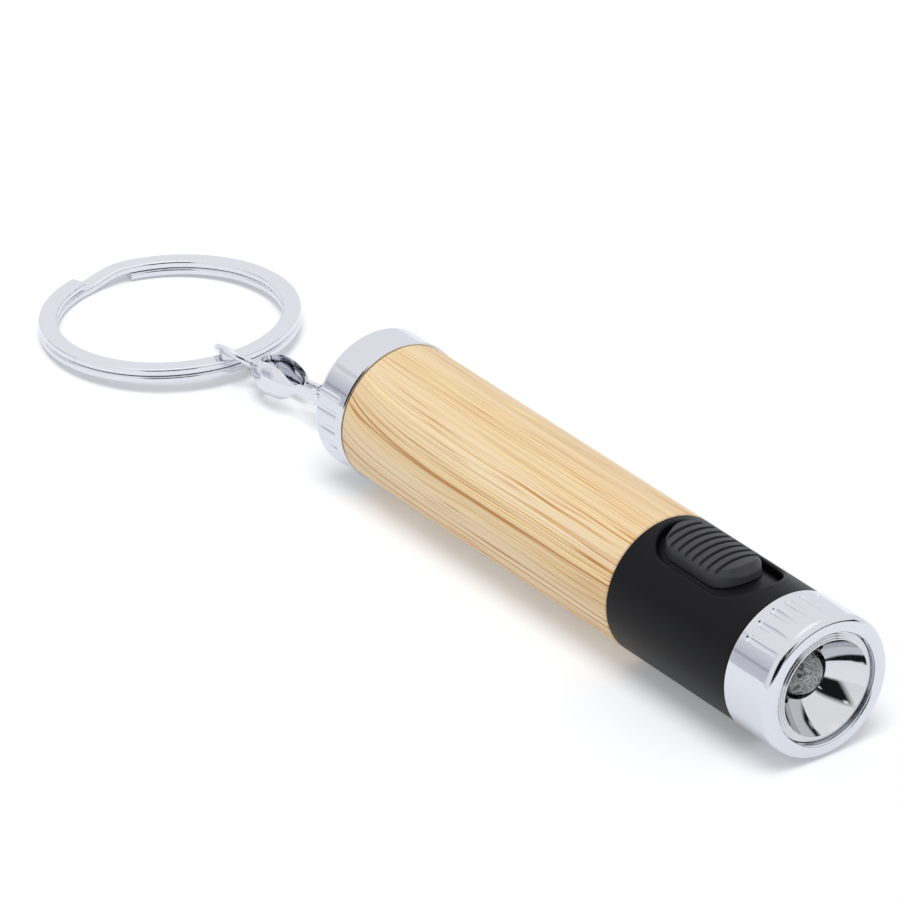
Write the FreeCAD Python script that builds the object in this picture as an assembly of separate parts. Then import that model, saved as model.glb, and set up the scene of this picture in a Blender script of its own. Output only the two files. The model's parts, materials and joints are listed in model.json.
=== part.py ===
import FreeCAD, Part
import math
import os

# Keychain flashlight: a slide-switch torch with a bamboo grip, on a swivel chain with a split ring.
# Millimetres. Pieces are drawn with X along the torch towards the lamp, X = 0 where the bamboo meets
# the switch housing, and Y = Z = 0 on the torch's axis. write_node moves them to the finished frame,
# whose origin is on the floor below the middle of the whole object, with +Z up.

V = FreeCAD.Vector
ALONG = V(1, 0, 0)
ACROSS = V(0, 1, 0)
UP = V(0, 0, 1)

# Outside of the torch
BODY_R = 8.0             # bamboo grip and switch housing
CAP_R = 8.2              # bright ends stand a little proud, and the torch lies on them
X_BACK = -52.5           # back face of the tail cap
X_GRIP = -47.5           # tail cap meets the bamboo
X_BEZEL = 20.3           # housing meets the bezel
X_RIM = 27.3             # front of the bezel's lip
SEAM = 0.05              # gap between neighbouring outside pieces
EDGE = 0.15              # small chamfer on outside edges

# Inside bores
TUBE_R, TUBE_BORE_R = 6.4, 5.6
TUBE_END = 4.0           # the battery tube reaches this far into the housing
HOUSING_BORE_R = 6.35
SPIGOT_TAIL = 5.0        # threaded length on the tail cap
SPIGOT_HEAD = 4.0        # threaded length on the bezel
RUN = 0.05               # running clearance

# AAA cell
CELL_R, CELL_LENGTH = 5.25, 44.5
NUB_R, NUB_LENGTH = 1.9, 0.8
CELL_FRONT = 2.2

# Flutes, in two opposite groups on each bright end
FLUTES, FLUTE_PITCH = 6, 13.5
FLUTE_R, FLUTE_DEPTH = 0.58, 0.26

# Switch recess and slide
RECESS_X = (1.1, 17.4)
RECESS_HALF = 4.1
RECESS_FLOOR_R = 6.95
BUTTON_SECTIONS = (      # x from, x to, half width, height: the foot, the shoulder and the bevelled top
    (1.75, 14.75, 3.35, 5.2), (2.05, 14.4, 3.05, 7.8), (2.75, 13.65, 2.35, 9.0))
BUTTON_CROWN = 8.8
CROWN_R = 6.8
RIB_GROOVES, RIB_PITCH, RIB_FIRST = 8, 1.22, 3.75
NECK_X, NECK_HALF = (6.2, 8.8), 1.0
SLIDE_TRAVEL = 2.2
STRIP_Z = 3.0            # contact strips lie at this height
STRIP_T = 0.25

# Lamp
LED_R, LED_FLANGE_R = 2.5, 2.9
LED_BACK, LED_LENGTH = 16.4, 8.6
LED_HOLE_R = 2.8
BOWL_BACK_X, BOWL_FRONT_X, BOWL_FRONT_R = 23.5, 27.05, 5.5
LIP_R = 6.4
BOARD_X = (13.6, 14.4)
LEAD_HALF = 0.25
LEAD_Z = 1.27

# Chain. It leaves the tail eye, droops to the floor and drifts a little to one side.
EYE_X = -55.7            # centre of the level ring of the tail eye
EYE_RING_R, EYE_WIRE_R = 1.7, 0.42
LINK_PIVOT = V(EYE_X - EYE_RING_R, 0, 0)
YOKE_PIVOT = V(-61.7, -0.18, -4.2)
LOOP_CENTRE = V(-77.2, -0.85, -5.9)   # where the split ring passes through the swivel eye
LINK_WIRE_R, LINK_WIDTH = 0.38, 1.8
PIN_R, PIN_HEAD_R = 0.42, 0.7
NECK_GAP, LEG_T = 0.45, 0.55          # half the gap between the yoke's legs, and their thickness
LEG_HALF_Z, LEG_END_R = 0.55, 0.85
NECK_FAR = -4.0          # the yoke's legs end here, measured from its pivot, and its bulb begins
BELLY_X, BELLY_R = -7.8, 2.38         # where the bulb is widest
CROWN_X, CROWN_R_OUT = -11.6, 1.2     # its far end
BULB_WALL = 0.5
SHANK_R, HEAD_R = 0.5, 1.15
LOOP_RING_R, LOOP_WIRE_R = 2.85, 0.46
LOOP_TURN = 48           # degrees that the swivel eye is turned from upright as it lies

# Split ring
RING_R, RING_BAND = 13.95, 2.1
COIL_T, COIL_GAP = 0.87, 0.06
BAND_ROUND = 0.28        # rounding of the wire's long edges
JOG = (168.0, 192.0)     # degrees over which the upper coil steps down to the lower one
RING_ENDS = (194.5, 166.0)            # free end of the upper coil, and of the lower one
RING_AIM = V(-91.0, -0.8, 0)          # the ring's centre lies over this point

ring_half = COIL_T + COIL_GAP / 2
ring_reach = 2 * RING_R + RING_BAND / 2
ring_lift = LOOP_CENTRE.z + CAP_R
ring_drop = math.asin(ring_lift / math.hypot(ring_reach, ring_half)) - math.atan2(ring_half, ring_reach)
ring_yaw = math.atan2(LOOP_CENTRE.y - RING_AIM.y, LOOP_CENTRE.x - RING_AIM.x)
ring_far = ring_reach * math.cos(ring_drop) + ring_half * math.sin(ring_drop)
X_MIDDLE = (X_RIM + LOOP_CENTRE.x - ring_far) / 2
Y_MIDDLE = LOOP_CENTRE.y - RING_R * math.sin(ring_yaw)
CELL_BACK = CELL_FRONT - CELL_LENGTH


def write_node(name, shape):
    """Move one piece to the finished frame and write its STEP file."""
    moved = shape.copy()
    moved.translate(V(-X_MIDDLE, -Y_MIDDLE, CAP_R))
    moved.exportStep("parts/" + name + ".step")


def profile(points):
    """Face in the XZ plane. (x, z) ends a straight edge, and (x, z, xm, zm) an arc by way of (xm, zm)."""
    edges = []
    last = points[-1]
    for point in points:
        start, end = V(last[0], 0, last[1]), V(point[0], 0, point[1])
        if len(point) == 4:
            edges.append(Part.Arc(start, V(point[2], 0, point[3]), end).toShape())
        else:
            edges.append(Part.LineSegment(start, end).toShape())
        last = point
    return Part.Face(Part.Wire(edges))


def turned(points):
    """Solid of revolution about the torch's axis, from an outline of x and radius."""
    return profile(points).revolve(V(0, 0, 0), ALONG, 360)


def rod(x0, x1, radius, y=0, z=0):
    return Part.makeCylinder(radius, x1 - x0, V(x0, y, z), ALONG)


def tube(x0, x1, inner, outer):
    return rod(x0, x1, outer).cut(rod(x0, x1, inner))


def block(x0, x1, y0, y1, z0, z1):
    return Part.makeBox(x1 - x0, y1 - y0, z1 - z0, V(x0, y0, z0))


def stadium(x0, x1, half, z):
    """Wire with straight sides and round ends, level at height z."""
    a, b = x0 + half, x1 - half
    outline = [Part.LineSegment(V(a, -half, z), V(b, -half, z)),
               Part.Arc(V(b, -half, z), V(x1, 0, z), V(b, half, z)),
               Part.LineSegment(V(b, half, z), V(a, half, z)),
               Part.Arc(V(a, half, z), V(x0, 0, z), V(a, -half, z))]
    return Part.Wire([piece.toShape() for piece in outline])


def joined(pieces):
    return pieces[0].multiFuse(pieces[1:]).removeSplitter()


def fluted(shape, deep_x, faded_x, first_angle):
    """Cut two opposite groups of flutes, deep and round-ended at deep_x and fading out at faded_x."""
    centre_r = CAP_R - FLUTE_DEPTH + FLUTE_R
    start = V(deep_x, 0, centre_r)
    run = V(faded_x, 0, centre_r + 0.8 * FLUTE_DEPTH) - start
    cutter = joined([Part.makeCylinder(FLUTE_R, run.Length, start, run), Part.makeSphere(FLUTE_R, start)])
    cutters = []
    for group in (0, 180):
        for number in range(FLUTES):
            one = cutter.copy()
            one.rotate(V(0, 0, 0), ALONG, first_angle + group + number * FLUTE_PITCH)
            cutters.append(one)
    return shape.cut(cutters)


def sheet_strip(points, thickness, half_width):
    """Bent strip of sheet metal. Points are one face's (x, z) line, and the metal lies on its left."""
    def normal(a, b):
        length = math.hypot(b[0] - a[0], b[1] - a[1])
        return (a[1] - b[1]) / length, (b[0] - a[0]) / length

    normals = [normal(a, b) for a, b in zip(points, points[1:])]
    other = []
    for number, (x, z) in enumerate(points):
        before = normals[max(number - 1, 0)]
        after = normals[min(number, len(normals) - 1)]
        reach = thickness / (1 + before[0] * after[0] + before[1] * after[1])
        other.append((x + reach * (before[0] + after[0]), z + reach * (before[1] + after[1])))
    face = profile(list(points) + other[::-1])
    face.translate(V(0, -half_width, 0))
    return face.extrude(V(0, 2 * half_width, 0))


def wire_loop(length, width, bend, wire_r):
    """Closed rounded rectangle of round wire, level, centred, measured on its centreline."""
    along, across = length / 2 - bend, width / 2 - bend
    pieces = []
    for turn, (sx, sy) in enumerate(((1, 1), (-1, 1), (-1, -1), (1, -1))):
        corner = Part.makeTorus(bend, wire_r, V(0, 0, 0), UP, -180, 180, 90)
        corner.rotate(V(0, 0, 0), UP, 90 * turn)
        corner.translate(V(sx * along, sy * across, 0))
        pieces.append(corner)
    for side in (1, -1):
        pieces.append(Part.makeCylinder(wire_r, 2 * along, V(-along, side * width / 2, 0), ALONG))
        if across > 0:
            pieces.append(Part.makeCylinder(wire_r, 2 * across, V(side * length / 2, -across, 0), ACROSS))
    return joined(pieces)


def hung(shape, start, slope, yaw):
    """Put a chain piece, drawn from its pivot towards -X, on its pivot. It falls by slope radians."""
    shape.rotate(V(0, 0, 0), ACROSS, -math.degrees(slope))
    shape.rotate(V(0, 0, 0), UP, math.degrees(yaw))
    shape.translate(start)
    return shape


def strung(shape, start, end):
    """Hang a chain piece so that it points from its own pivot to the next one."""
    run = start - end
    return hung(shape, start, math.atan2(run.z, math.hypot(run.x, run.y)), math.atan2(run.y, run.x))


# Grip and battery

def bamboo_sleeve():
    x0, x1 = X_GRIP + SEAM, -SEAM
    bore = TUBE_R + RUN
    return turned([(x0, bore), (x1, bore), (x1, BODY_R - EDGE), (x1 - EDGE, BODY_R), (x0 + EDGE, BODY_R),
                   (x0, BODY_R - EDGE)])


def battery_tube():
    return tube(X_GRIP + 2 * SEAM, TUBE_END, TUBE_BORE_R, TUBE_R)


def aaa_cell():
    shoulder = CELL_FRONT - NUB_LENGTH
    edge = 0.3
    return turned([(CELL_BACK, 0), (CELL_BACK, CELL_R - edge), (CELL_BACK + edge, CELL_R),
                   (shoulder - edge, CELL_R), (shoulder, CELL_R - edge), (shoulder, NUB_R),
                   (CELL_FRONT, NUB_R), (CELL_FRONT, 0)])


def tail_cap():
    cup_x, cup_r, shank_hole_r, round_r = X_BACK + 2.5, 4.6, 0.85, 0.8
    thread_r = TUBE_BORE_R - RUN
    diagonal = round_r * (1 - math.sqrt(0.5))
    cap = turned([(X_BACK, shank_hole_r), (cup_x, shank_hole_r), (cup_x, cup_r),
                  (X_GRIP + SPIGOT_TAIL, cup_r), (X_GRIP + SPIGOT_TAIL, thread_r),
                  (X_GRIP, thread_r), (X_GRIP, CAP_R - EDGE),
                  (X_GRIP - EDGE, CAP_R), (X_BACK + round_r, CAP_R),
                  (X_BACK, CAP_R - round_r, X_BACK + diagonal, CAP_R - diagonal)])
    return fluted(cap, X_GRIP - 1.3, X_BACK + 0.5, 64.5)


def tail_contact_plate():
    return rod(X_GRIP - 0.1, X_GRIP + 0.3, 4.5)


def tail_spring():
    wire_r, coil_r, turns, steps = 0.25, 3.6, 4, 16
    x0 = X_GRIP + 0.3 + SEAM + wire_r
    height = CELL_BACK - SEAM - wire_r - x0
    sections = []
    for number in range(turns * steps + 1):
        angle = 2 * math.pi * number / steps
        x = x0 + height * number / (turns * steps)
        centre = V(x, coil_r * math.cos(angle), coil_r * math.sin(angle))
        along = V(height / (2 * math.pi * turns), -coil_r * math.sin(angle), coil_r * math.cos(angle))
        sections.append(Part.Wire([Part.makeCircle(wire_r, centre, along)]))
    return Part.makeLoft(sections, True, True)


# Tail eye and its fixings

def tail_eye():
    loop = Part.makeTorus(EYE_RING_R, EYE_WIRE_R, V(EYE_X, 0, 0), UP)
    return joined([loop, rod(EYE_X + EYE_RING_R, X_BACK + 4.3, 0.8)])


def eye_washer():
    return tube(X_BACK - 0.45, X_BACK, 0.85, 1.7)


def eye_nut():
    x0, flats = X_BACK + 2.5, 4.0
    corner = flats / math.sqrt(3)
    angles = [math.radians(a) for a in range(0, 361, 60)]
    hexagon = Part.Face(Part.makePolygon([V(x0, corner * math.cos(a), corner * math.sin(a)) for a in angles]))
    return hexagon.extrude(V(1.6, 0, 0)).cut(rod(x0, x0 + 1.6, 0.82))


# Switch

def switch_housing():
    x1, bore = X_BEZEL - SEAM, TUBE_R + RUN
    step_x = TUBE_END + 0.1
    shell = turned([(0, bore), (step_x, bore), (step_x, HOUSING_BORE_R), (x1, HOUSING_BORE_R),
                    (x1, BODY_R - EDGE), (x1 - EDGE, BODY_R), (EDGE, BODY_R), (0, BODY_R - EDGE)])
    prism = Part.Face(stadium(RECESS_X[0], RECESS_X[1], RECESS_HALF, 0)).extrude(V(0, 0, 2 * BODY_R))
    shell = shell.cut(prism.cut(rod(0, X_BEZEL, RECESS_FLOOR_R)))
    in_recess = [e for e in shell.Edges if e.BoundBox.XMin > 0.5 and e.BoundBox.XMax < RECESS_X[1] + 0.6]
    mouth = [e for e in in_recess if e.BoundBox.ZMin > 6
             and abs(math.hypot(e.Vertexes[0].Y, e.Vertexes[0].Z) - BODY_R) < 0.01]
    shell = shell.makeFillet(0.3, mouth)
    slot_x = (NECK_X[0] - 0.3, NECK_X[1] + SLIDE_TRAVEL + 0.3)
    return shell.cut(block(slot_x[0], slot_x[1], -NECK_HALF - 0.25, NECK_HALF + 0.25, 5, BODY_R))


def slider_button():
    groove_half, groove_depth = 0.26, 0.38
    body = Part.makeLoft([stadium(*section) for section in BUTTON_SECTIONS], True, True)
    body = body.common(rod(0, X_BEZEL, CROWN_R, z=BUTTON_CROWN - CROWN_R))
    below = rod(0, X_BEZEL, CROWN_R - groove_depth, z=BUTTON_CROWN - CROWN_R)
    grooves = []
    for number in range(RIB_GROOVES):
        x = RIB_FIRST + number * RIB_PITCH
        grooves.append(block(x - groove_half, x + groove_half, -BODY_R, BODY_R, 7.0, 10).cut(below))
    body = body.cut(grooves)
    socket = block(NECK_X[0] - RUN, NECK_X[1] + RUN, -NECK_HALF - RUN, NECK_HALF + RUN, 5, 7.75)
    return body.cut(rod(0, X_BEZEL, RECESS_FLOOR_R + 0.1)).cut(socket)


def slider_carrier():
    plate = block(NECK_X[0] - 0.8, NECK_X[1] + 0.6, -2.3, 2.3, 4.3, 5.75)
    neck = block(NECK_X[0], NECK_X[1], -NECK_HALF, NECK_HALF, 5, 7.7)
    return joined([plate, neck])


def slider_contact():
    foot, top, t = STRIP_Z + STRIP_T + RUN, 4.1, 0.15
    line = [(5.6, top), (6.0, foot), (6.5, top), (7.5, top), (8.0, foot), (8.4, top)]
    return sheet_strip(line, t, 1.2)


def switch_base():
    x0, x1, r = TUBE_END + 0.2, 11.2, HOUSING_BORE_R - RUN
    body = rod(x0, x1, r).cut(block(x0 + 0.7, x1, -r, r, STRIP_Z, r))
    return body.cut(block(x0, x0 + 0.7, -1.3, 1.3, STRIP_Z, STRIP_Z + 0.4))


def battery_contact():
    top, nub = STRIP_Z + STRIP_T, CELL_FRONT + RUN
    line = [(8.6, top - STRIP_T), (3.85, top - STRIP_T), (3.85, -2.0), (nub, 0.6)]
    return sheet_strip(line[::-1], STRIP_T, 1.2)


def lamp_contact():
    x1 = BOARD_X[0] - RUN
    line = [(9.2, STRIP_Z), (x1 - STRIP_T, STRIP_Z), (x1 - STRIP_T, 1.9)]
    return sheet_strip(line, STRIP_T, 1.2)


# Lamp and its circuit

def lead_bars(grow):
    """Two square leads from behind the board into the LED; one ends in the cup that holds the chip."""
    half = LEAD_HALF + grow
    x0 = BOARD_X[0] - 0.4 - grow
    ends = ((20.3, LEAD_Z), (20.9, -LEAD_Z))
    bars = [block(x0, tip + grow, -half, half, z - half, z + half) for tip, z in ends]
    arm = block(20.4 - grow, 20.9 + grow, -half, half, -LEAD_Z - half, half)
    return bars + [arm]


def led_leads():
    upper, lower, arm = lead_bars(0)
    return Part.makeCompound([upper, joined([lower, arm, rod(20.4, 21.3, 0.7)])])


def led_lens():
    flange, tip = LED_BACK + 1.0, LED_BACK + LED_LENGTH
    dome_x = tip - LED_R
    bulge = LED_R * math.sqrt(0.5)
    lens = turned([(LED_BACK, 0), (LED_BACK, LED_FLANGE_R), (flange, LED_FLANGE_R), (flange, LED_R),
                   (dome_x, LED_R), (tip, 0, dome_x + bulge, bulge)])
    return lens.cut(lead_bars(0)).cut(rod(20.4, 21.3, 0.7))


def led_holder():
    step_x, flange_x = BOARD_X[1] + 0.1, X_BEZEL - SPIGOT_HEAD - 0.1
    seat_x, end_x = LED_BACK + 1.05, X_BEZEL - 0.3
    return turned([(step_x, LED_FLANGE_R + RUN), (seat_x, LED_FLANGE_R + RUN), (seat_x, LED_R + RUN),
                   (end_x, LED_R + RUN), (end_x, 5.5), (flange_x, 5.5), (flange_x, HOUSING_BORE_R - RUN),
                   (step_x, HOUSING_BORE_R - RUN)])


def circuit_board():
    return rod(BOARD_X[0], BOARD_X[1], HOUSING_BORE_R - 0.1).cut(lead_bars(RUN))


def boost_coil():
    return rod(BOARD_X[0] - 1.9, BOARD_X[0], 1.7, y=2.4, z=-2.6)


def driver_chip():
    return block(BOARD_X[0] - 1.1, BOARD_X[0], -3.9, -1.0, -3.6, -2.0)


def reflector():
    seat_x, back_x, hub_r = 25.75, 21.6, 3.6
    step, rise = (LIP_R - SEAM - BOWL_FRONT_R) / 4, 0.14
    middle_r = (LED_HOLE_R + BOWL_FRONT_R) / 2
    focus4 = (BOWL_FRONT_R ** 2 - LED_HOLE_R ** 2) / (BOWL_FRONT_X - BOWL_BACK_X)
    middle_x = BOWL_BACK_X + (middle_r ** 2 - LED_HOLE_R ** 2) / focus4
    line = [(back_x, LED_HOLE_R), (BOWL_BACK_X, LED_HOLE_R), (BOWL_FRONT_X, BOWL_FRONT_R, middle_x, middle_r)]
    x, r = BOWL_FRONT_X - 0.03, BOWL_FRONT_R + 0.12
    line.append((x, r))
    for number in range(3):
        x -= rise
        line += [(x, r), (x, r + step)]
        r += step
    line += [(x - rise, r), (x - rise, LIP_R - SEAM), (seat_x, LIP_R - SEAM), (seat_x, 5.6), (22.9, hub_r),
             (back_x, hub_r)]
    return turned(line)


def head_bezel():
    thread_r, bore, round_r, lip_x = HOUSING_BORE_R - RUN, 5.7, 0.95, X_RIM - 0.3
    seat_x = 25.7
    diagonal = round_r * (1 - math.sqrt(0.5))
    bezel = turned([(X_BEZEL - SPIGOT_HEAD, bore), (seat_x, bore), (seat_x, LIP_R), (lip_x, LIP_R),
                    (X_RIM, LIP_R + 0.35, X_RIM - 0.08, LIP_R + 0.1), (X_RIM, CAP_R - round_r),
                    (X_RIM - round_r, CAP_R, X_RIM - diagonal, CAP_R - diagonal), (X_BEZEL + EDGE, CAP_R),
                    (X_BEZEL, CAP_R - EDGE), (X_BEZEL, thread_r), (X_BEZEL - SPIGOT_HEAD, thread_r)])
    bezel.rotate(V(0, 0, 0), ALONG, -4)      # brings the blank's own seam onto a land between flutes
    return fluted(bezel, X_BEZEL + 1.4, X_RIM - 1.3, -21.75)


# Chain and split ring

def chain_link():
    length = (LINK_PIVOT - YOKE_PIVOT).Length
    loop = wire_loop(length + LINK_WIDTH, LINK_WIDTH, LINK_WIDTH / 2, LINK_WIRE_R)
    loop.rotate(V(0, 0, 0), ALONG, 90)
    loop.translate(V(-length / 2, 0, 0))
    return strung(loop, LINK_PIVOT, YOKE_PIVOT)


def egg(shrink):
    """Solid of the yoke's bulb; shrink makes the hollow inside it."""
    crown_x, neck_x = CROWN_X + shrink, NECK_FAR - shrink
    crown_r, belly_r, neck_r = CROWN_R_OUT - 0.4 * shrink, BELLY_R - shrink, NECK_GAP + LEG_T - 0.4 * shrink
    brow, flank = (crown_x + BELLY_X) / 2 - 0.3, (neck_x + BELLY_X) / 2
    return turned([(crown_x, 0), (crown_x, crown_r), (BELLY_X, belly_r, brow, 0.2 * crown_r + 0.8 * belly_r),
                   (neck_x, neck_r, flank, 0.23 * neck_r + 0.77 * belly_r), (neck_x, 0)])


def swivel_yoke():
    """Two legs that open into a bulb with a window above and below, and the swivel's seat in its crown."""
    seat_x = CROWN_X + BULB_WALL + 0.15
    leg_y = NECK_GAP + LEG_T
    window = Part.Face(stadium(seat_x + 0.35, NECK_FAR + 0.2, 1.25, -5)).extrude(V(0, 0, 10))
    legs = block(NECK_FAR - 0.6, 0, -leg_y, leg_y, -LEG_HALF_Z, LEG_HALF_Z)
    ends = Part.makeCylinder(LEG_END_R, 2 * leg_y, V(0, -leg_y, 0), ACROSS)
    yoke = joined([egg(0), legs, ends]).cut(egg(BULB_WALL)).cut(window)
    yoke = yoke.cut(block(NECK_FAR - 1, 2, -NECK_GAP, NECK_GAP, -3, 3))
    yoke = yoke.cut(Part.makeCylinder(PIN_R + RUN, 10, V(0, -5, 0), ACROSS))
    yoke = yoke.cut(rod(CROWN_X - 1, CROWN_X + 2, SHANK_R + 0.08)).cut(rod(seat_x, BELLY_X, HEAD_R + 0.1))
    return strung(yoke, YOKE_PIVOT, LOOP_CENTRE)


def yoke_pin():
    """Rivet through the yoke's legs, inside the end of the link."""
    legs_y, head = NECK_GAP + LEG_T + 0.04, 0.3
    pin = Part.makeCylinder(PIN_R, 2 * (legs_y + head), V(0, -legs_y - head, 0), ACROSS)
    heads = [Part.makeCylinder(PIN_HEAD_R, head, V(0, y, 0), ACROSS) for y in (-legs_y - head, legs_y)]
    return strung(joined([pin] + heads), YOKE_PIVOT, LOOP_CENTRE)


def swivel_eye():
    """Round eye and riveted shank in one piece; the head turns on the seat inside the yoke's crown."""
    head_x = CROWN_X + BULB_WALL + 0.2
    far = (YOKE_PIVOT - LOOP_CENTRE).Length
    loop = Part.makeTorus(LOOP_RING_R, LOOP_WIRE_R, V(-far, 0, 0), ACROSS)
    eye = joined([loop, rod(LOOP_RING_R - far, head_x, SHANK_R), rod(head_x, head_x + 0.6, HEAD_R)])
    eye.rotate(V(0, 0, 0), ALONG, LOOP_TURN)
    return strung(eye, YOKE_PIVOT, LOOP_CENTRE)


def swivel_collar():
    end_x = CROWN_X - 0.08
    return strung(tube(end_x - 0.45, end_x, SHANK_R + 0.04, 1.0), YOKE_PIVOT, LOOP_CENTRE)


def band_outline(z):
    """Rounded rectangle across one coil of the split ring, upright, at RING_R and height z."""
    r = BAND_ROUND
    a, h = RING_BAND / 2, COIL_T / 2
    d = r * (1 - math.sqrt(0.5))
    corners = [(a - r, -h), (a, -h + r, a - d, -h + d), (a, h - r), (a - r, h, a - d, h - d),
               (-a + r, h), (-a, h - r, -a + d, h - d), (-a, -h + r), (-a + r, -h, -a + d, -h + d)]
    face = profile(corners)
    face.translate(V(RING_R, 0, z))
    return face


def split_ring():
    level = (COIL_T + COIL_GAP) / 2
    full = 360
    upper = band_outline(level).revolve(V(0, 0, 0), UP, JOG[0] + full - RING_ENDS[0])
    upper.rotate(V(0, 0, 0), UP, RING_ENDS[0] - full)
    lower = band_outline(-level).revolve(V(0, 0, 0), UP, RING_ENDS[1] + full - JOG[1])
    lower.rotate(V(0, 0, 0), UP, JOG[1])
    sections, steps = [], 12
    for number in range(steps + 1):
        part = number / steps
        outline = band_outline(level * math.cos(math.pi * part)).OuterWire
        outline.rotate(V(0, 0, 0), UP, JOG[0] + part * (JOG[1] - JOG[0]))
        sections.append(outline)
    ring = joined([upper, Part.makeLoft(sections, True, True), lower])
    ring.translate(V(-RING_R, 0, 0))
    return hung(ring, LOOP_CENTRE, ring_drop, ring_yaw)


NODES = [bamboo_sleeve, battery_tube, aaa_cell, tail_cap, tail_contact_plate, tail_spring, tail_eye,
         eye_washer, eye_nut, switch_housing, slider_button, slider_carrier, slider_contact, switch_base,
         battery_contact, lamp_contact, led_leads, led_lens, led_holder, circuit_board, boost_coil,
         driver_chip, reflector, head_bezel, chain_link, swivel_yoke, yoke_pin, swivel_eye, swivel_collar,
         split_ring]

os.makedirs("parts", exist_ok=True)
for make in NODES:
    write_node(make.__name__, make())
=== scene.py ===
import json
import math

import bpy
from mathutils import Matrix, Vector


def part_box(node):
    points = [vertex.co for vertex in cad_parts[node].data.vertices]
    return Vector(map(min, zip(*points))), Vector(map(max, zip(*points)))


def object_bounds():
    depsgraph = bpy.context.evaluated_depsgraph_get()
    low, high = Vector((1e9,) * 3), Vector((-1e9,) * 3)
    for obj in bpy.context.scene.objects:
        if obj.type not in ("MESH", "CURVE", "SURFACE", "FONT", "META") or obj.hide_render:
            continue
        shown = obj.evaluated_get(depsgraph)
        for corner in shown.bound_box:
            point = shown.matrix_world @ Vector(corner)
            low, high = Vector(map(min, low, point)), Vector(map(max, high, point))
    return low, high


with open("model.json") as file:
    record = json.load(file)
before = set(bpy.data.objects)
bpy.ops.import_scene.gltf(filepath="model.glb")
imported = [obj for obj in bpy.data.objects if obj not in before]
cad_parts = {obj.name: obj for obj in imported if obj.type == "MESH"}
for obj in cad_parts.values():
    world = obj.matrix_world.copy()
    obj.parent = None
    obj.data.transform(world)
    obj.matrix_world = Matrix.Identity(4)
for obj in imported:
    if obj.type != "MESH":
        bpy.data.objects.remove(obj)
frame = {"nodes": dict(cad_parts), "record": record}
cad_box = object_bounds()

# Looks of the keychain flashlight. Every shown piece is a CAD node, and gets a node material here.
# The frame is the CAD's, in metres: +X along the torch towards the lamp, +Z up. Material helpers
# take millimetres, measured from the seam between grip and switch housing, on the torch's axis.

MM = 0.001
housing_low, housing_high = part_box("switch_housing")
SEAM = Vector((housing_low.x, (housing_low.y + housing_high.y) / 2,
               (housing_low.z + housing_high.z) / 2))

# Camera, fitted to the photograph
AZIMUTH, ELEVATION, ROLL = (math.radians(a) for a in (54.1, 29.4, -1.1))
DISTANCE = 844.8 * MM
AIM_RIGHT, AIM_UP = -22.76 * MM, 14.18 * MM       # the point it looks at, from the seam
LENS, SENSOR = 320.0, 36.0
CLIP_START, CLIP_END = 0.05, 10.0

# Bamboo grip: its radius and length, and how far its fibres spread at the tail and sway
GRIP_R, GRIP_LENGTH = 8.0, 47.5
FAN_LENGTH, FAN_RISE, SWAY = 4.5, 2.2, 0.7
ANGLE_TO_RAMP = 0.3                               # brings angles up to pi into a ramp's 0 to 1
BAMBOO_DARK = (0.67, 0.50, 0.285)
BAMBOO_MID = (0.755, 0.60, 0.38)
BAMBOO_PALE = (0.81, 0.675, 0.465)
FIBRE_TINT = (0.70, 0.47, 0.23)
GLOW_TINT = (0.90, 0.70, 0.33)
HAIR_TINT = (0.52, 0.25, 0.065)
VESSEL_TOP_TINT, VESSEL_LOW_TINT = (0.60, 0.30, 0.07), (0.46, 0.20, 0.045)

# Metals
SCRATCH_DEPTH = 0.0006
HAZE_ROUGHNESS = 0.05                             # added where the haze is thickest

# Floor
FLOOR_HALF = 3.0
FLOOR_DARK, FLOOR_PALE = (0.69, 0.70, 0.715), (0.71, 0.72, 0.735)
FLOOR_GLOW, FLOOR_GLOW_STRENGTH = (0.98, 0.99, 1.0, 1.0), 0.23       # keeps the shadows light

# Light
SUN_TOWARD, SUN_SOFTNESS, SUN_STRENGTH = (0.22, -0.16, 1.0), 34, 1.9
DIFFUSE_TENT = 0.60                               # the tent's strength on matt surfaces
TENT_RAMP = [(0.45, (0.93, 0.945, 0.975)), (0.62, (0.95, 0.96, 0.985)), (0.8, (1.0, 1.0, 1.0))]
MATT_TINT, BACKDROP = (0.97, 0.98, 1.0), (0.93, 0.935, 0.945)
OPENING_BLACK = (0.012, 0.012, 0.015)
LIP_BLACK = (0.02, 0.02, 0.025)
FLUTE_BLACK = (0.10, 0.10, 0.12)
FLANK_GREY, SIDE_BRIGHT = (0.66, 0.67, 0.72), (1.3, 1.3, 1.3)


# Node trees

def add(tree, kind, inputs=None, **settings):
    """A shader node; inputs maps a socket's name or number to a value or another node's output."""
    made = tree.nodes.new("ShaderNode" + kind)
    for key, value in settings.items():
        setattr(made, key, value)
    for key, value in (inputs or {}).items():
        if isinstance(value, bpy.types.NodeSocket):
            tree.links.new(value, made.inputs[key])
        else:
            made.inputs[key].default_value = value
    return made


def maths(tree, operation, *values, clamp=False):
    inputs = dict(enumerate(values))
    return add(tree, "Math", inputs, operation=operation, use_clamp=clamp).outputs[0]


def vector(tree, operation, *values):
    """Vector maths whose result is a vector."""
    return add(tree, "VectorMath", dict(enumerate(values)), operation=operation).outputs[0]


def dot(tree, a, axis):
    inputs = {0: a, 1: tuple(axis)}
    return add(tree, "VectorMath", inputs, operation="DOT_PRODUCT").outputs["Value"]


def ramp(tree, fac, stops):
    """Colour ramp; stops are (place, colour), a colour being a grey level or (r, g, b)."""
    made = add(tree, "ValToRGB", {"Fac": fac})
    elements = made.color_ramp.elements
    while len(elements) < len(stops):
        elements.new(0.5)
    for element, (place, colour) in zip(elements, stops):
        element.position = place
        grey = isinstance(colour, (int, float))
        element.color = (colour, colour, colour, 1) if grey else (*colour, 1)
    return made.outputs["Color"]


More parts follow.
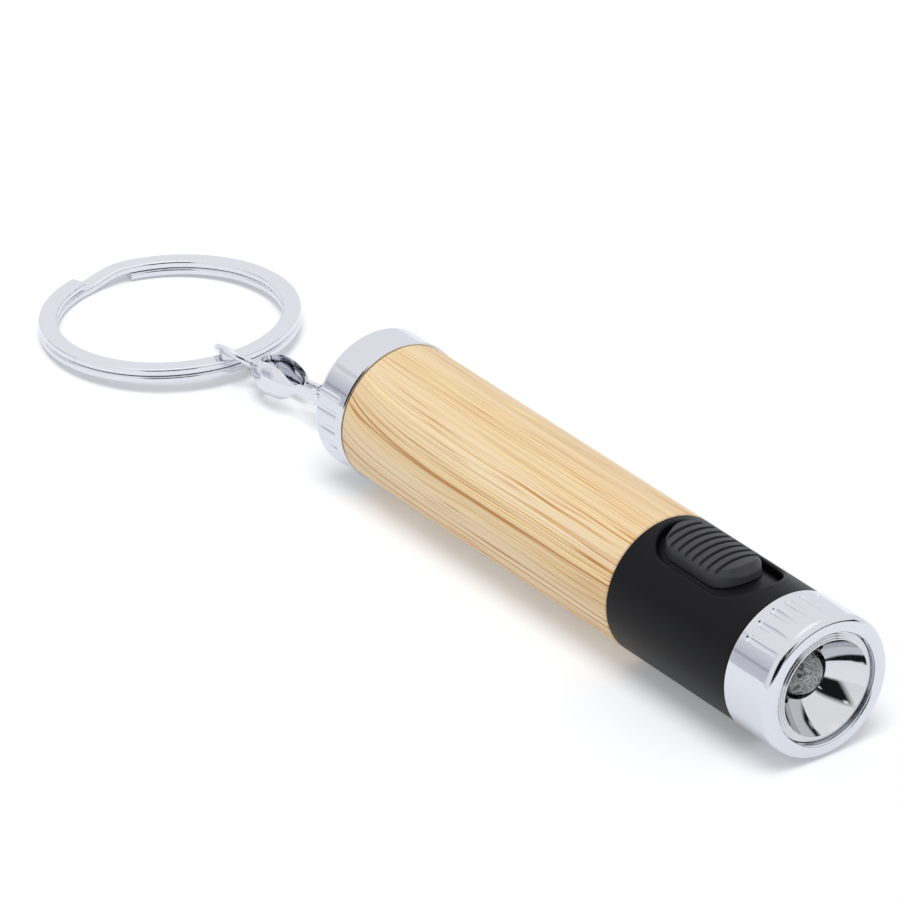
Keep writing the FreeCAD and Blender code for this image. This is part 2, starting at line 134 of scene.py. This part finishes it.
def mixed(tree, fac, a, b):
    made = add(tree, "Mix", data_type="RGBA", blend_type="MIX")
    for socket, value in ((made.inputs[0], fac), (made.inputs[6], a), (made.inputs[7], b)):
        if isinstance(value, bpy.types.NodeSocket):
            tree.links.new(value, socket)
        else:
            socket.default_value = (*value, 1) if isinstance(value, tuple) else value
    return made.outputs[2]


def position(tree, scale=(1, 1, 1)):
    """Object coordinates in millimetres from the seam, scaled along each axis."""
    coordinates = add(tree, "TexCoord").outputs["Object"]
    shifted = vector(tree, "SUBTRACT", coordinates, tuple(SEAM))
    return vector(tree, "MULTIPLY", shifted, tuple(s / MM for s in scale))


def noise(tree, at, scale=1.0, detail=3.0, rough=0.5):
    inputs = {"Vector": at, "Scale": scale, "Detail": detail, "Roughness": rough}
    return add(tree, "TexNoise", inputs).outputs["Fac"]


def material(name):
    made = bpy.data.materials.new(name)
    made.use_nodes = True
    made.node_tree.nodes.clear()
    shader = add(made.node_tree, "BsdfPrincipled")
    add(made.node_tree, "OutputMaterial", {"Surface": shader.outputs[0]})
    return made, made.node_tree, shader


def feed(tree, shader, **inputs):
    """Connect or set inputs of a shader; underscores stand for spaces."""
    for key, value in inputs.items():
        socket = shader.inputs[key.replace("_", " ")]
        if isinstance(value, bpy.types.NodeSocket):
            tree.links.new(value, socket)
        else:
            socket.default_value = value


def bumped(tree, height, distance, strength=1.0, soften=0.0):
    """Normal bent by a height; soften is the radius that edges are shaded with. Millimetres."""
    inputs = {"Height": height, "Distance": distance * MM, "Strength": strength}
    if soften:
        inputs["Normal"] = add(tree, "Bevel", {"Radius": soften * MM}, samples=8).outputs[0]
    return add(tree, "Bump", inputs).outputs[0]


# Materials

def metal(name, colour, rough, waves=0.0, soften=0.0):
    """Plated or bare metal: fine haze, faint scratches, and slow waves in the plating."""
    made, tree, shader = material(name)
    haze = noise(tree, position(tree), 1.6, 4)
    scratches = noise(tree, position(tree, (0.5, 9, 9)), 2.0, 5, 0.7)
    slow = noise(tree, position(tree, (0.35, 0.5, 0.5)), 1.0, 2)
    height = maths(tree, "ADD", maths(tree, "MULTIPLY", slow, waves),
                   maths(tree, "MULTIPLY", scratches, SCRATCH_DEPTH))
    feed(tree, shader, Metallic=1.0,
         Base_Color=mixed(tree, haze, tuple(c * 0.97 for c in colour), colour),
         Roughness=ramp(tree, haze, [(0.3, rough), (0.75, rough + HAZE_ROUGHNESS)]),
         Normal=bumped(tree, height, 1, 1, soften))
    return made


def plastic(name, colour, rough, grain=0.004, soften=0.0, gloss=0.5):
    """Moulded plastic with a fine spark-eroded grain."""
    made, tree, shader = material(name)
    fine = noise(tree, position(tree), 7.0, 3)
    cloud = noise(tree, position(tree), 0.35, 3)
    darker, lighter = (tuple(min(1, c * level) for c in colour) for level in (0.85, 1.15))
    feed(tree, shader, Specular_IOR_Level=gloss,
         Base_Color=mixed(tree, cloud, darker, lighter),
         Roughness=ramp(tree, fine, [(0.3, rough - 0.05), (0.7, rough + 0.06)]),
         Normal=bumped(tree, fine, grain, 1, soften))
    return made


def bamboo():
    """Pale bamboo: long fibres that spread near the tail, orange-brown vessels, satin lacquer."""
    made, tree, shader = material("bamboo")
    along, across, up = add(tree, "SeparateXYZ", {0: position(tree)}).outputs

    # Angle round the grip, 0 on top and growing towards -Y; where it is the low side or top edge
    around = maths(tree, "ARCTAN2", maths(tree, "MULTIPLY", across, -1.0), up)
    low_side = ramp(tree, maths(tree, "MULTIPLY", around, ANGLE_TO_RAMP),
                    [(0.05, 0.0), (0.30, 1.0), (0.80, 0.9)])
    top_edge = ramp(tree, maths(tree, "MULTIPLY_ADD", around, ANGLE_TO_RAMP, 0.5),
                    [(0.34, 0.9), (0.48, 0.2)])

    # Which fibre a point is on: its arc in millimetres, swaying slowly and spreading at the tail
    arc = maths(tree, "MULTIPLY", around, GRIP_R)
    wander = noise(tree, position(tree, (0.045, 0.10, 0.10)), 1.0, 2)
    sway = maths(tree, "MULTIPLY", maths(tree, "SUBTRACT", wander, 0.5), SWAY)
    from_tail = maths(tree, "ADD", along, GRIP_LENGTH)
    fan = maths(tree, "POWER", math.e, maths(tree, "DIVIDE", from_tail, -FAN_LENGTH))
    fanned = maths(tree, "MULTIPLY", maths(tree, "MULTIPLY", fan, low_side), FAN_RISE)
    fibre = maths(tree, "ADD", maths(tree, "ADD", arc, sway), fanned)

    def grain(length_scale, width_scale, seed, detail=1.0, rough=0.5):
        """Noise drawn out along the fibres; the scales are per millimetre."""
        at = add(tree, "CombineXYZ", {0: maths(tree, "MULTIPLY", along, length_scale),
                                      1: maths(tree, "MULTIPLY", fibre, width_scale),
                                      2: seed}).outputs[0]
        return noise(tree, at, 1.0, detail, rough)

    # Ground colour
    broad = grain(0.012, 0.22, 3.0, 2)
    fibres = grain(0.05, 5.5, 7.0, 3, 0.6)
    base = ramp(tree, broad, [(0.32, BAMBOO_DARK), (0.5, BAMBOO_MID), (0.7, BAMBOO_PALE)])
    base = mixed(tree, ramp(tree, fibres, [(0.36, 0.32), (0.6, 0.0)]), base, FIBRE_TINT)

    # Lines: a yellow glow, then thin hairs and darker vessels, which come in crowds
    crowds = ramp(tree, grain(0.02, 0.30, 11.0), [(0.42, 0.25), (0.58, 1.0)])
    where_many = maths(tree, "ADD", crowds,
                       maths(tree, "MULTIPLY_ADD", low_side, 0.5, top_edge), clamp=True)
    vessel = ramp(tree, grain(0.006, 1.05, 15.0),
                  [(0.484, 0.0), (0.493, 1.0), (0.499, 1.0), (0.508, 0.0),
                   (0.60, 0.0), (0.608, 0.9), (0.616, 0.0)])
    hair = ramp(tree, grain(0.010, 1.35, 19.0),
                [(0.40, 0.0), (0.42, 0.7), (0.44, 0.0), (0.495, 0.0), (0.515, 1.0),
                 (0.535, 0.0), (0.60, 0.0), (0.62, 0.6), (0.64, 0.0)])
    glow = ramp(tree, grain(0.010, 0.8, 23.0), [(0.55, 0.0), (0.575, 0.65), (0.60, 0.0)])
    colour = mixed(tree, glow, base, GLOW_TINT)
    hairs_seen = maths(tree, "MULTIPLY", hair, maths(tree, "MULTIPLY", where_many, 0.9))
    colour = mixed(tree, hairs_seen, colour, HAIR_TINT)
    vessel_tint = mixed(tree, low_side, VESSEL_TOP_TINT, VESSEL_LOW_TINT)
    colour = mixed(tree, maths(tree, "MULTIPLY", vessel, where_many), colour, vessel_tint)

    height = maths(tree, "SUBTRACT", fibres, maths(tree, "MULTIPLY", vessel, 0.5))
    feed(tree, shader, Base_Color=colour, Roughness=ramp(tree, fibres, [(0.3, 0.42), (0.7, 0.52)]),
         Specular_IOR_Level=0.3, Coat_Weight=0.10, Coat_Roughness=0.35,
         Normal=bumped(tree, height, 0.015, 0.6))
    return made


def clear_epoxy():
    """Cast lens, faintly grey, with flow marks that catch the light through a bump, and painted
    glints as streaks in its colour.
    """
    made, tree, shader = material("clear_epoxy")
    flow = noise(tree, position(tree, (0.6, 1.5, 1.5)), 1.0, 3, 0.6)
    # Painted glints and painted shade: bright and dark streaks in the lens colour along the flow
    # marks
    painted_glint_streaks = ramp(tree, flow, [(0.36, (0.10, 0.105, 0.115)), (0.46, (0.42, 0.43, 0.45)),
                                (0.52, (0.85, 0.86, 0.88)), (0.56, (0.30, 0.31, 0.33)),
                                (0.66, (0.55, 0.56, 0.58))])
    feed(tree, shader, Base_Color=painted_glint_streaks, Roughness=0.05, Transmission_Weight=0.45, IOR=1.5,
         Normal=bumped(tree, flow, 0.25))
    return made


METALS = {
    "chrome": {"colour": (0.70, 0.715, 0.765), "rough": 0.04, "waves": 0.010, "soften": 0.06},
    "reflector_chrome": {"colour": (0.68, 0.685, 0.71), "rough": 0.03, "waves": 0.003,
                         "soften": 0.04},
    "nickel_wire": {"colour": (0.74, 0.75, 0.80), "rough": 0.06, "waves": 0.002, "soften": 0.05},
    "spring_steel": {"colour": (0.58, 0.58, 0.6), "rough": 0.22},
    "aluminium_tube": {"colour": (0.72, 0.72, 0.74), "rough": 0.3},
    "brass_strip": {"colour": (0.78, 0.58, 0.26), "rough": 0.2},
    "tinned_lead": {"colour": (0.66, 0.66, 0.68), "rough": 0.25},
}
PLASTICS = {
    "housing_plastic": {"colour": (0.0035, 0.0035, 0.0045), "rough": 0.42, "grain": 0.003,
                        "gloss": 0.13},
    "button_plastic": {"colour": (0.042, 0.042, 0.045), "rough": 0.48, "soften": 0.12,
                       "gloss": 0.25},
    "cell_jacket": {"colour": (0.16, 0.19, 0.24), "rough": 0.35, "grain": 0.001},
    "inner_plastic": {"colour": (0.72, 0.71, 0.68), "rough": 0.45},
    "board_laminate": {"colour": (0.02, 0.13, 0.06), "rough": 0.35, "grain": 0.002},
    "ferrite": {"colour": (0.035, 0.035, 0.04), "rough": 0.5},
}
MATERIALS = {"bamboo": bamboo(), "clear_epoxy": clear_epoxy()}
MATERIALS.update((name, metal(name, **look)) for name, look in METALS.items())
MATERIALS.update((name, plastic(name, **look)) for name, look in PLASTICS.items())

for row in frame["record"]["subparts"]:
    slots = frame["nodes"][row["node"]].data.materials
    slots.clear()
    slots.append(MATERIALS[row["material_slot"]])


# Floor, camera and light

def floor():
    half = FLOOR_HALF
    corners = [(-half, -half, 0), (half, -half, 0), (half, half, 0), (-half, half, 0)]
    mesh = bpy.data.meshes.new("floor")
    mesh.from_pydata(corners, [], [(0, 1, 2, 3)])
    made = bpy.data.objects.new("floor", mesh)
    made.location.z = cad_box[0].z
    bpy.context.scene.collection.objects.link(made)
    paper, tree, shader = material("floor")
    grain = noise(tree, add(tree, "TexCoord").outputs["Object"], 40, 2)
    feed(tree, shader, Base_Color=mixed(tree, grain, FLOOR_DARK, FLOOR_PALE), Roughness=0.9,
         Specular_IOR_Level=0.1, Emission_Color=FLOOR_GLOW, Emission_Strength=FLOOR_GLOW_STRENGTH)
    mesh.materials.append(paper)


def view_axes():
    """The photograph's right, up and towards-the-camera directions."""
    level = math.cos(ELEVATION)
    back = Vector((math.sin(AZIMUTH) * level, -math.cos(AZIMUTH) * level, math.sin(ELEVATION)))
    right = Vector((math.cos(AZIMUTH), math.sin(AZIMUTH), 0))
    up = back.cross(right)
    tilted_right = math.cos(ROLL) * right + math.sin(ROLL) * up
    tilted_up = math.cos(ROLL) * up - math.sin(ROLL) * right
    return tilted_right, tilted_up, back


def camera():
    right, up, back = view_axes()
    data = bpy.data.cameras.new("camera")
    data.lens, data.sensor_width = LENS, SENSOR
    data.clip_start, data.clip_end = CLIP_START, CLIP_END
    made = bpy.data.objects.new("camera", data)
    bpy.context.scene.collection.objects.link(made)
    made.matrix_world = Matrix((right, up, back)).transposed().to_4x4()
    made.location = SEAM + AIM_RIGHT * right + AIM_UP * up + DISTANCE * back
    bpy.context.scene.camera = made


def overhead():
    """Broad soft light from above, left out of the reflections."""
    data = bpy.data.lights.new("overhead", "SUN")
    data.angle, data.energy = math.radians(SUN_SOFTNESS), SUN_STRENGTH
    made = bpy.data.objects.new("overhead", data)
    bpy.context.scene.collection.objects.link(made)
    made.rotation_mode = "QUATERNION"
    made.rotation_quaternion = Vector(SUN_TOWARD).to_track_quat("Z", "Y")
    made.visible_glossy = False


def sky():
    """A white light tent: a dark opening where the photographer stands, grey and bright areas."""
    world = bpy.data.worlds.new("tent")
    bpy.context.scene.world = world
    world.use_nodes = True
    tree = world.node_tree
    tree.nodes.clear()
    direction = add(tree, "TexCoord").outputs["Generated"]
    height = add(tree, "SeparateXYZ", {0: direction}).outputs[2]
    right, up, back = view_axes()

    # Where a direction meets a plane at distance 1 on the photographer's side of the tent
    facing = maths(tree, "MAXIMUM", dot(tree, direction, back), 0.01)
    u = maths(tree, "DIVIDE", dot(tree, direction, right), facing)
    v = maths(tree, "DIVIDE", dot(tree, direction, up), facing)

    def within(value, middle, half, soft):
        off = maths(tree, "ABSOLUTE", maths(tree, "SUBTRACT", value, middle))
        return maths(tree, "DIVIDE", maths(tree, "SUBTRACT", half, off), soft, clamp=True)

    def panel(u0, v0, half_u, half_v, soft):
        """1 inside a rectangle on that plane, falling to 0 at its edges."""
        return maths(tree, "MULTIPLY", within(u, u0, half_u, soft), within(v, v0, half_v, soft))

    def patch(bearing, elevation, inner, outer):
        """1 within inner degrees of a direction, 0 beyond outer. Bearing is from +X towards +Y."""
        turn, rise = math.radians(bearing), math.radians(elevation)
        axis = (math.cos(rise) * math.cos(turn), math.cos(rise) * math.sin(turn), math.sin(rise))
        near, far = math.cos(math.radians(inner)), math.cos(math.radians(outer))
        beyond = maths(tree, "SUBTRACT", dot(tree, direction, axis), far)
        return maths(tree, "DIVIDE", beyond, near - far, clamp=True)

    def strip(bearing, half_width, low, high, weight=1.0):
        """A weight inside a band: between two heights, within half_width degrees of a bearing."""
        turn = math.radians(bearing)
        level = vector(tree, "NORMALIZE", vector(tree, "MULTIPLY", direction, (1, 1, 0)))
        facing_it = dot(tree, level, (math.cos(turn), math.sin(turn), 0))
        edge = math.cos(math.radians(half_width))
        inside = maths(tree, "DIVIDE", maths(tree, "SUBTRACT", facing_it, edge), 0.05, clamp=True)
        above = maths(tree, "DIVIDE", maths(tree, "SUBTRACT", height, low), 0.03, clamp=True)
        below = maths(tree, "DIVIDE", maths(tree, "SUBTRACT", high, height), 0.03, clamp=True)
        band = maths(tree, "MULTIPLY", inside, maths(tree, "MULTIPLY", above, below))
        return maths(tree, "MULTIPLY", band, weight)

    opening = panel(0.0, -0.12, 0.50, 0.48, 0.16)
    for u0, v0 in ((-0.30, 0.22), (0.16, 0.05)):                     # small lamps in the opening
        opening = maths(tree, "SUBTRACT", opening, panel(u0, v0, 0.06, 0.055, 0.03), clamp=True)

    seen = ramp(tree, maths(tree, "MULTIPLY_ADD", height, 0.5, 0.5), TENT_RAMP)
    seen = mixed(tree, patch(224, 10, 4, 22), seen, FLANK_GREY)      # left flank of both caps
    seen = mixed(tree, patch(150, 78, 8, 26), seen, SIDE_BRIGHT)
    seen = mixed(tree, strip(222, 14, 0.20, 0.28, 0.65), seen, FLUTE_BLACK)
    seen = mixed(tree, strip(213, 14, 0.50, 0.58, 0.35), seen, FLUTE_BLACK)
    seen = mixed(tree, opening, seen, OPENING_BLACK)
    seen = mixed(tree, strip(32, 42, 0.06, 0.24), seen, LIP_BLACK)   # line on the bezel's lip

    rays = add(tree, "LightPath").outputs
    matt = tuple(c * DIFFUSE_TENT for c in MATT_TINT)
    colour = mixed(tree, rays["Is Diffuse Ray"], seen, matt)
    colour = mixed(tree, rays["Is Camera Ray"], colour, BACKDROP)
    shade = add(tree, "Background", {"Color": colour, "Strength": 1.0})
    add(tree, "OutputWorld", {"Surface": shade.outputs[0]})


floor()
sky()
camera()
overhead()
bpy.context.scene.view_settings.view_transform = "Standard"
